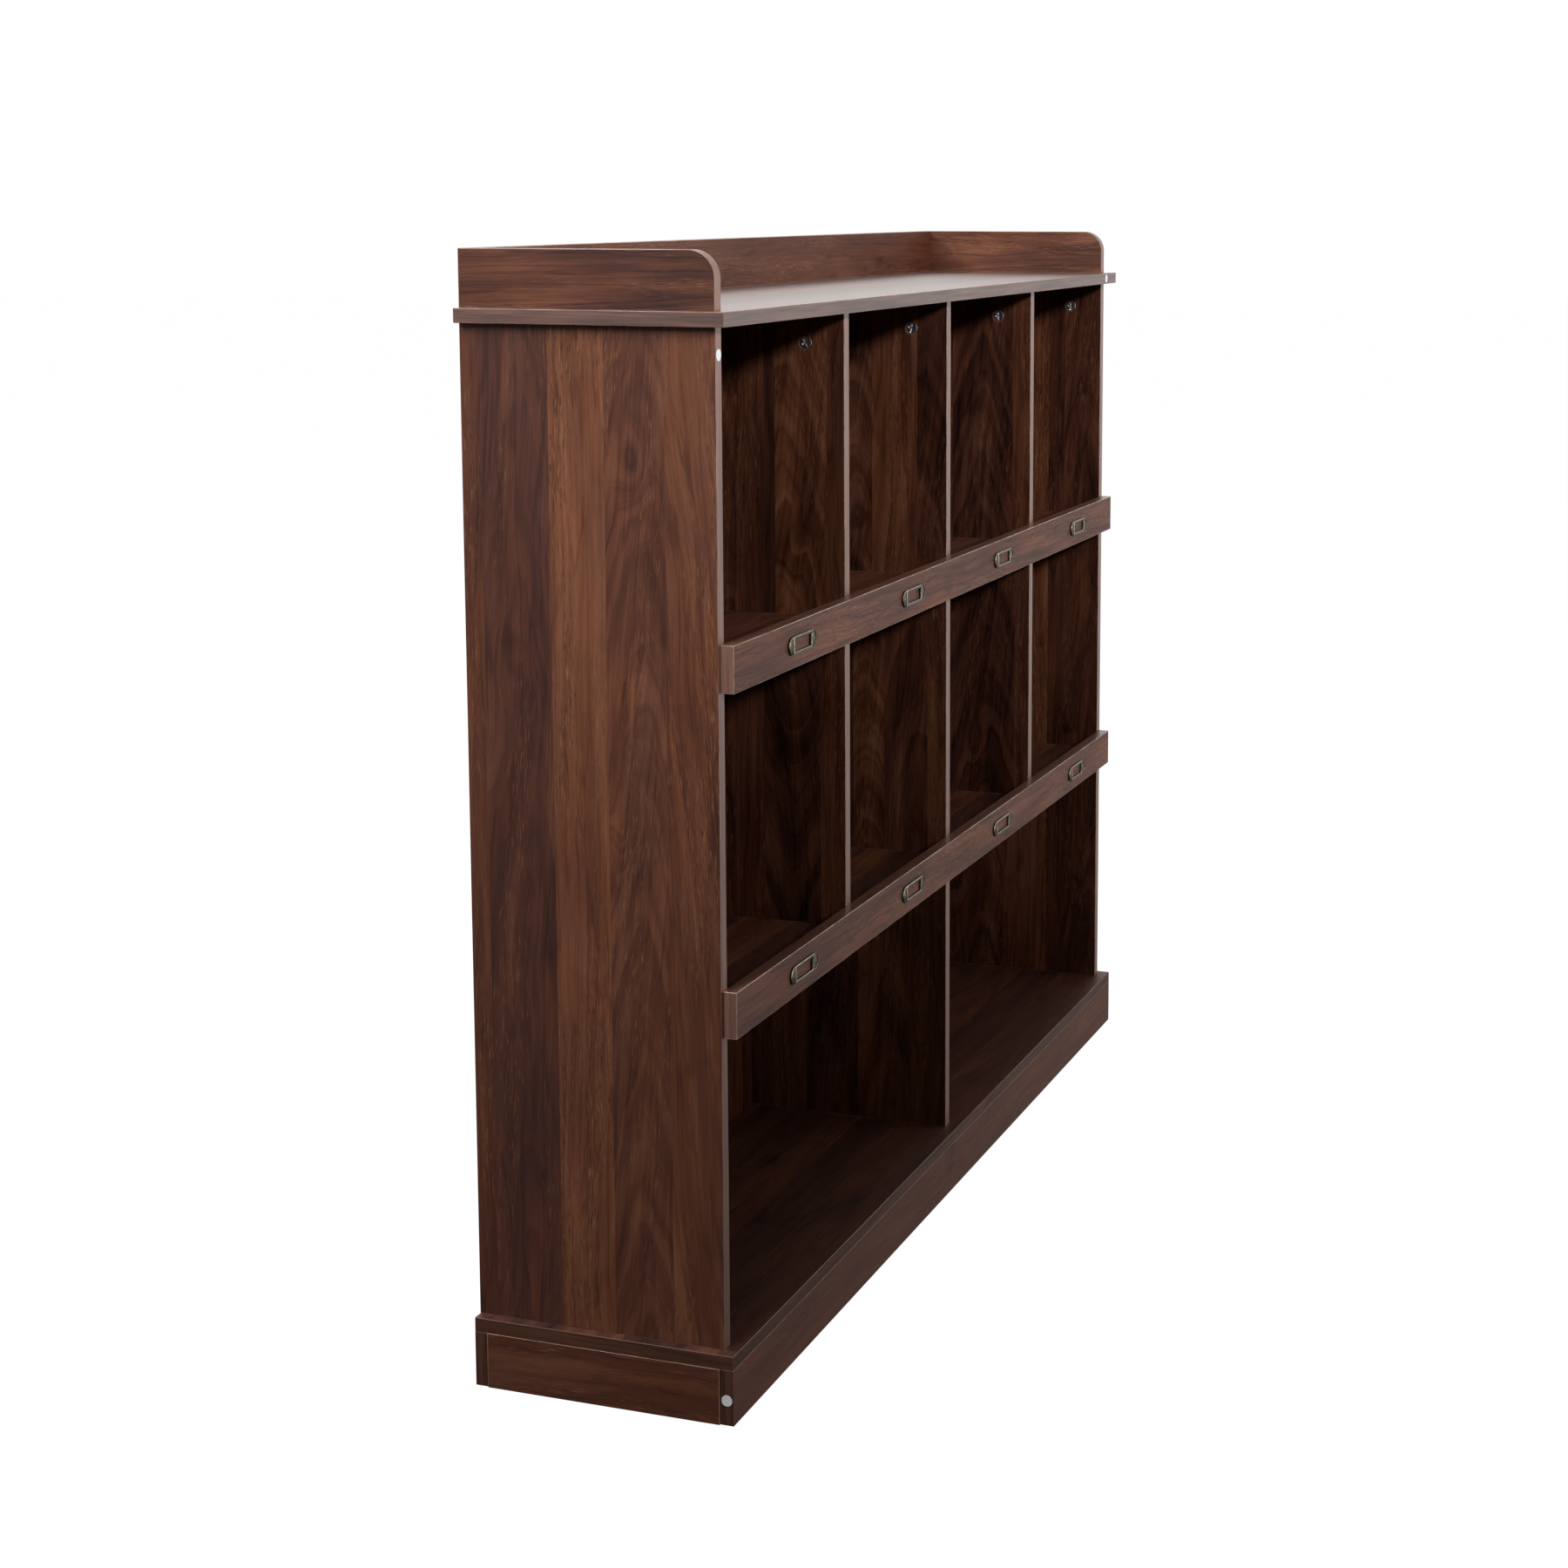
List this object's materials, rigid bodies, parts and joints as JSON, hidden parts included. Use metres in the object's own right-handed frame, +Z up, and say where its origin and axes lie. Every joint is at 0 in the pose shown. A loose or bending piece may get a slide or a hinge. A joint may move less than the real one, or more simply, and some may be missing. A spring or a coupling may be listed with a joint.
{
  "type": "cubby bookcase",
  "caption": "Floor-standing walnut cubby bookcase with a plinth, a low gallery round the top, and front rails that carry brass label holders.",
  "frame": {"origin": "centre of the bounding box at floor level", "axes": "+X to the right along the front, +Y to the back, +Z up; the open front faces -Y"},
  "size_m": [1.463, 0.3, 1.2],
  "materials": {
    "walnut_laminate": "satin",
    "back_board": "matte",
    "antique_brass": "aged satin",
    "zinc": "cast",
    "steel": "plated",
    "white_paper": "matte"
  },
  "bodies": {
    "carcass": {"side_panel_left": "walnut_laminate", "side_panel_right": "walnut_laminate", "top_board": "walnut_laminate", "bottom_board": "walnut_laminate", "shelf_lower": "walnut_laminate", "shelf_upper": "walnut_laminate", "divider_bottom": "walnut_laminate", "divider_middle_1": "walnut_laminate", "divider_top_1": "walnut_laminate", "divider_middle_2": "walnut_laminate", "divider_top_2": "walnut_laminate", "divider_middle_3": "walnut_laminate", "divider_top_3": "walnut_laminate", "plinth_front": "walnut_laminate", "plinth_back": "walnut_laminate", "plinth_left": "walnut_laminate", "plinth_right": "walnut_laminate", "plinth_brace": "walnut_laminate", "gallery_left": "walnut_laminate", "gallery_right": "walnut_laminate", "gallery_back": "walnut_laminate", "rail_lower": "walnut_laminate", "rail_upper": "walnut_laminate", "back_panel_left": "back_board", "back_panel_right": "back_board", "label_holder_lower_1": "antique_brass", "label_holder_lower_2": "antique_brass", "label_holder_lower_3": "antique_brass", "label_holder_lower_4": "antique_brass", "label_holder_upper_1": "antique_brass", "label_holder_upper_2": "antique_brass", "label_holder_upper_3": "antique_brass", "label_holder_upper_4": "antique_brass", "cam_bolt_1_front": "steel", "cam_bolt_1_back": "steel", "cam_bolt_2_front": "steel", "cam_bolt_2_back": "steel", "cam_bolt_3_front": "steel", "cam_bolt_3_back": "steel", "cam_bolt_4_front": "steel", "cam_bolt_4_back": "steel", "cam_bolt_5_front": "steel", "cam_bolt_5_back": "steel", "marker_dot_side": "white_paper", "marker_dot_top": "white_paper", "marker_dot_plinth": "white_paper"},
    "cam_1_front": {"cam_lock_1_front": "zinc"},
    "cam_1_back": {"cam_lock_1_back": "zinc"},
    "cam_2_front": {"cam_lock_2_front": "zinc"},
    "cam_2_back": {"cam_lock_2_back": "zinc"},
    "cam_3_front": {"cam_lock_3_front": "zinc"},
    "cam_3_back": {"cam_lock_3_back": "zinc"},
    "cam_4_front": {"cam_lock_4_front": "zinc"},
    "cam_4_back": {"cam_lock_4_back": "zinc"},
    "cam_5_front": {"cam_lock_5_front": "zinc"},
    "cam_5_back": {"cam_lock_5_back": "zinc"}
  },
  "joints": [
    {"name": "cam_1_front_turn", "type": "hinge", "parent": "carcass", "child": "cam_1_front", "pos_m": [-0.703, -0.086, 1.091], "axis": [1, 0, 0], "range_deg": [0, 165]},
    {"name": "cam_1_back_turn", "type": "hinge", "parent": "carcass", "child": "cam_1_back", "pos_m": [-0.703, 0.089, 1.091], "axis": [1, 0, 0], "range_deg": [0, 165]},
    {"name": "cam_2_front_turn", "type": "hinge", "parent": "carcass", "child": "cam_2_front", "pos_m": [-0.362, -0.086, 1.091], "axis": [-1, 0, 0], "range_deg": [0, 150]},
    {"name": "cam_2_back_turn", "type": "hinge", "parent": "carcass", "child": "cam_2_back", "pos_m": [-0.362, 0.089, 1.091], "axis": [-1, 0, 0], "range_deg": [0, 150]},
    {"name": "cam_3_front_turn", "type": "hinge", "parent": "carcass", "child": "cam_3_front", "pos_m": [-0.007, -0.086, 1.091], "axis": [-1, 0, 0], "range_deg": [0, 190]},
    {"name": "cam_3_back_turn", "type": "hinge", "parent": "carcass", "child": "cam_3_back", "pos_m": [-0.007, 0.089, 1.091], "axis": [-1, 0, 0], "range_deg": [0, 190]},
    {"name": "cam_4_front_turn", "type": "hinge", "parent": "carcass", "child": "cam_4_front", "pos_m": [0.348, -0.086, 1.091], "axis": [-1, 0, 0], "range_deg": [0, 175]},
    {"name": "cam_4_back_turn", "type": "hinge", "parent": "carcass", "child": "cam_4_back", "pos_m": [0.348, 0.089, 1.091], "axis": [-1, 0, 0], "range_deg": [0, 175]},
    {"name": "cam_5_front_turn", "type": "hinge", "parent": "carcass", "child": "cam_5_front", "pos_m": [0.703, -0.086, 1.091], "axis": [-1, 0, 0], "range_deg": [0, 185]},
    {"name": "cam_5_back_turn", "type": "hinge", "parent": "carcass", "child": "cam_5_back", "pos_m": [0.703, 0.089, 1.091], "axis": [-1, 0, 0], "range_deg": [0, 185]}
  ]
}
